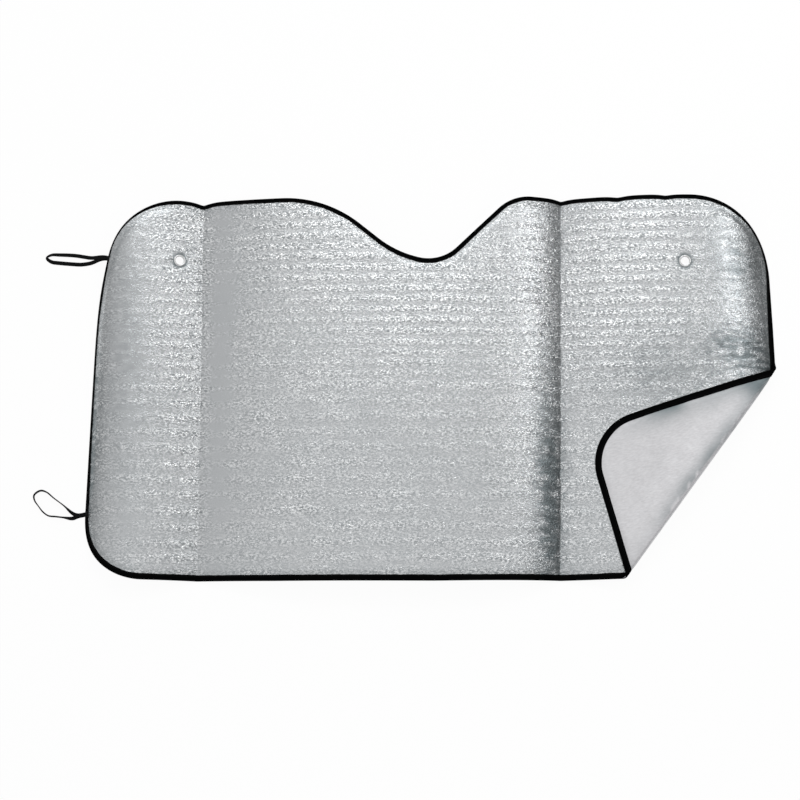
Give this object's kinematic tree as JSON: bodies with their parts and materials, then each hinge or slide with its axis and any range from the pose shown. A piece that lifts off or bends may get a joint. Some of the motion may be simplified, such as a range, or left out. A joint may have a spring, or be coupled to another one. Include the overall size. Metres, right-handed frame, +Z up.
{
  "type": "car sunshade",
  "caption": "Folding windscreen sunshade of silver bubble foil with black edge tape, a mirror notch, eyelets, elastic loops and one corner folded over.",
  "frame": {"origin": "on the floor, under the middle of the shade's bounding box", "axes": "+X along the shade's width, towards the folded corner, +Y towards the edge with the mirror notch, +Z up, away from the foil front"},
  "size_m": [1.5608, 0.8198, 0.0617],
  "materials": {
    "bubble_foil": "crinkled reflective film over air bubbles",
    "edge_tape": "woven tape, matt",
    "eyelet": "bright plated",
    "elastic": "flat woven elastic"
  },
  "bodies": {
    "root": {"foil_sheet": "bubble_foil", "edge_binding": "edge_tape", "left_eyelet": "eyelet", "right_eyelet": "eyelet", "upper_elastic_loop": "elastic", "lower_elastic_loop": "elastic"}
  },
  "joints": []
}
